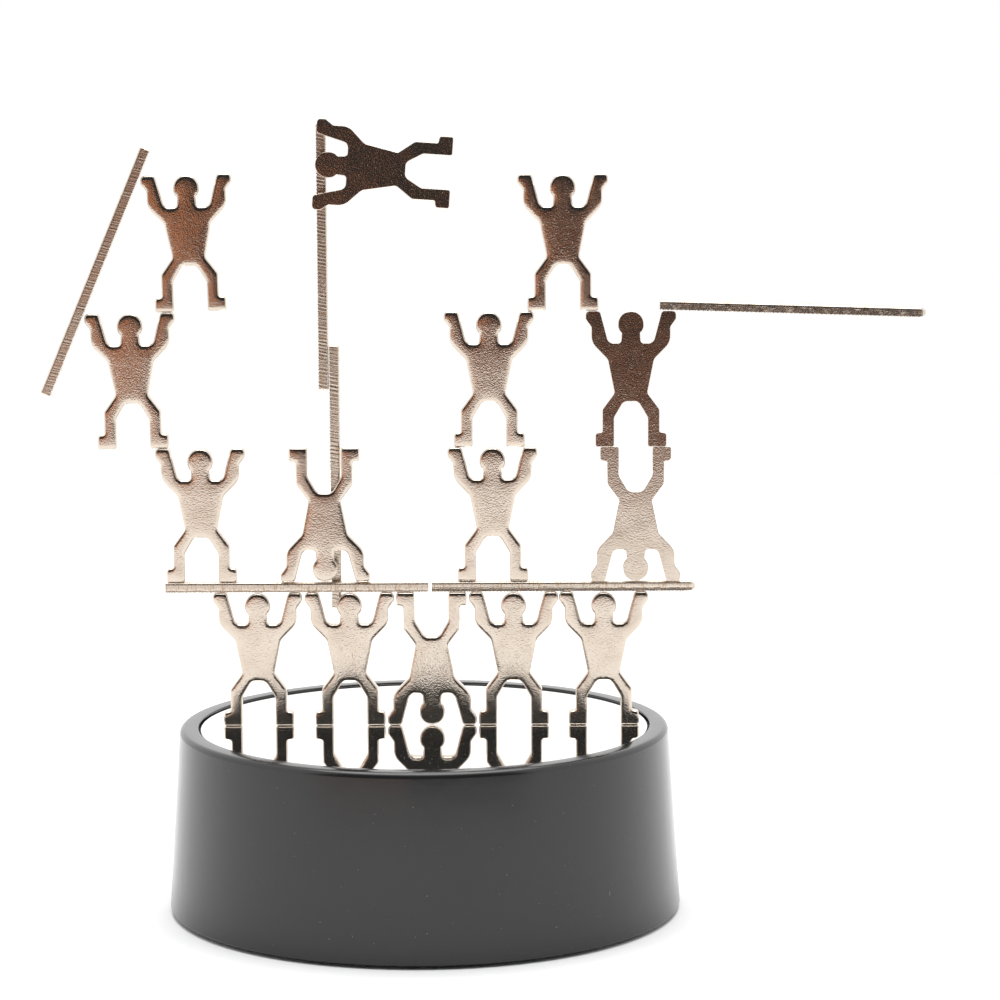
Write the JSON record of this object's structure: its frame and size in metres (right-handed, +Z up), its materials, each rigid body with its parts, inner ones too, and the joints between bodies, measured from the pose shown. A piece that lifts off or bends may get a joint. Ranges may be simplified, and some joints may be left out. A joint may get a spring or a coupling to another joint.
{
  "type": "magnetic desk sculpture",
  "caption": "Desk sculpture of stamped steel acrobats and square steel bars stacked into towers on a magnetic base with a mirror top.",
  "frame": {"origin": "centre of the base's resting face, on the table", "axes": "+Z up, -Y towards the front, +X to the right along the plane of the towers"},
  "size_m": [0.14, 0.082, 0.126],
  "materials": {
    "shell": "black moulded plastic, satin, with a softly rounded rim",
    "mirror_plate": "mirror-polished steel plate",
    "ferrite": "dull sintered ferrite",
    "closure": "black moulded plastic, fine texture",
    "pad": "non-slip foam rubber",
    "nickel": "nickel plate over stamped steel, bright with a fine orange-peel grain",
    "sheared_steel": "nickel plate over square bar, with cross-wise shear lines"
  },
  "bodies": {
    "base": {"base_shell": "shell", "mirror_plate": "mirror_plate", "ferrite_magnet": "ferrite", "base_closure": "closure", "foot_pad": "pad"},
    "row1_figure_a": {"row1_figure_a": "nickel"},
    "row1_figure_b": {"row1_figure_b": "nickel"},
    "row1_figure_c": {"row1_figure_c": "nickel"},
    "row1_figure_d": {"row1_figure_d": "nickel"},
    "row1_figure_e": {"row1_figure_e": "nickel"},
    "left_plank": {"left_plank": "sheared_steel"},
    "right_plank": {"right_plank": "sheared_steel"},
    "row2_figure_a": {"row2_figure_a": "nickel"},
    "row2_figure_b": {"row2_figure_b": "nickel"},
    "row2_figure_c": {"row2_figure_c": "nickel"},
    "row2_figure_d": {"row2_figure_d": "nickel"},
    "row3_figure_a": {"row3_figure_a": "nickel"},
    "row3_figure_b": {"row3_figure_b": "nickel"},
    "row3_figure_c": {"row3_figure_c": "nickel"},
    "row4_figure_a": {"row4_figure_a": "nickel"},
    "row4_figure_b": {"row4_figure_b": "nickel"},
    "lower_pole": {"lower_pole": "sheared_steel"},
    "upper_pole": {"upper_pole": "sheared_steel"},
    "flag_figure": {"flag_figure": "nickel"},
    "leaning_bar": {"leaning_bar": "sheared_steel"},
    "boom_bar": {"boom_bar": "sheared_steel"}
  },
  "joints": [
    {"name": "row1_a_slide", "type": "slide", "parent": "base", "child": "row1_figure_a", "axis": [0, -1, 0], "range_m": [0, 0.0145]},
    {"name": "row1_b_slide", "type": "slide", "parent": "base", "child": "row1_figure_b", "axis": [0, -1, 0], "range_m": [0, 0.03]},
    {"name": "row1_c_slide", "type": "slide", "parent": "base", "child": "row1_figure_c", "axis": [0, -1, 0], "range_m": [0, 0.033]},
    {"name": "row1_d_slide", "type": "slide", "parent": "base", "child": "row1_figure_d", "axis": [0, -1, 0], "range_m": [0, 0.028]},
    {"name": "row1_e_slide", "type": "slide", "parent": "base", "child": "row1_figure_e", "axis": [0, -1, 0], "range_m": [0, 0.0085]},
    {"name": "left_plank_slide", "type": "slide", "parent": "base", "child": "left_plank", "axis": [0, -1, 0], "range_m": [0, 0.015]},
    {"name": "right_plank_slide", "type": "slide", "parent": "base", "child": "right_plank", "axis": [0, -1, 0], "range_m": [0, 0.015]},
    {"name": "row2_a_slide", "type": "slide", "parent": "left_plank", "child": "row2_figure_a", "axis": [0, -1, 0], "range_m": [0, 0.012]},
    {"name": "row2_b_slide", "type": "slide", "parent": "left_plank", "child": "row2_figure_b", "axis": [0, -1, 0], "range_m": [0, 0.012]},
    {"name": "row2_c_slide", "type": "slide", "parent": "right_plank", "child": "row2_figure_c", "axis": [0, -1, 0], "range_m": [0, 0.012]},
    {"name": "row2_d_slide", "type": "slide", "parent": "right_plank", "child": "row2_figure_d", "axis": [0, -1, 0], "range_m": [0, 0.012]},
    {"name": "row3_a_swivel", "type": "hinge", "parent": "row2_figure_a", "child": "row3_figure_a", "pos_m": [-0.0413, 0, 0.0737], "axis": [0, 0, 1], "range_deg": [-60, 60]},
    {"name": "row3_b_slide", "type": "slide", "parent": "row2_figure_c", "child": "row3_figure_b", "axis": [0, -1, 0], "range_m": [0, 0.012]},
    {"name": "row3_c_slide", "type": "slide", "parent": "row2_figure_d", "child": "row3_figure_c", "axis": [0, -1, 0], "range_m": [0, 0.012]},
    {"name": "row4_a_slide", "type": "slide", "parent": "row3_figure_a", "child": "row4_figure_a", "axis": [0, -1, 0], "range_m": [0, 0.012]},
    {"name": "row4_b_slide", "type": "slide", "parent": "row3_figure_b", "child": "row4_figure_b", "axis": [0, -1, 0], "range_m": [0, 0.012]},
    {"name": "leaning_bar_slide", "type": "slide", "parent": "row3_figure_a", "child": "leaning_bar", "axis": [0.3948, 0, 0.9188], "range_m": [-0.01, 0.01]},
    {"name": "boom_swivel", "type": "hinge", "parent": "row3_figure_c", "child": "boom_bar", "pos_m": [0.0392, 0, 0.0953], "axis": [0, 0, 1], "range_deg": [-45, 45]},
    {"name": "lower_pole_slide", "type": "slide", "parent": "base", "child": "lower_pole", "axis": [0, 1, 0], "range_m": [0, 0.02]},
    {"name": "upper_pole_slide", "type": "slide", "parent": "lower_pole", "child": "upper_pole", "axis": [0, 0, 1], "range_m": [-0.008, 0.004]},
    {"name": "flag_swing", "type": "hinge", "parent": "upper_pole", "child": "flag_figure", "pos_m": [-0.0156, 0, 0.1185], "axis": [0, 1, 0], "range_deg": [-20, 20]}
  ]
}
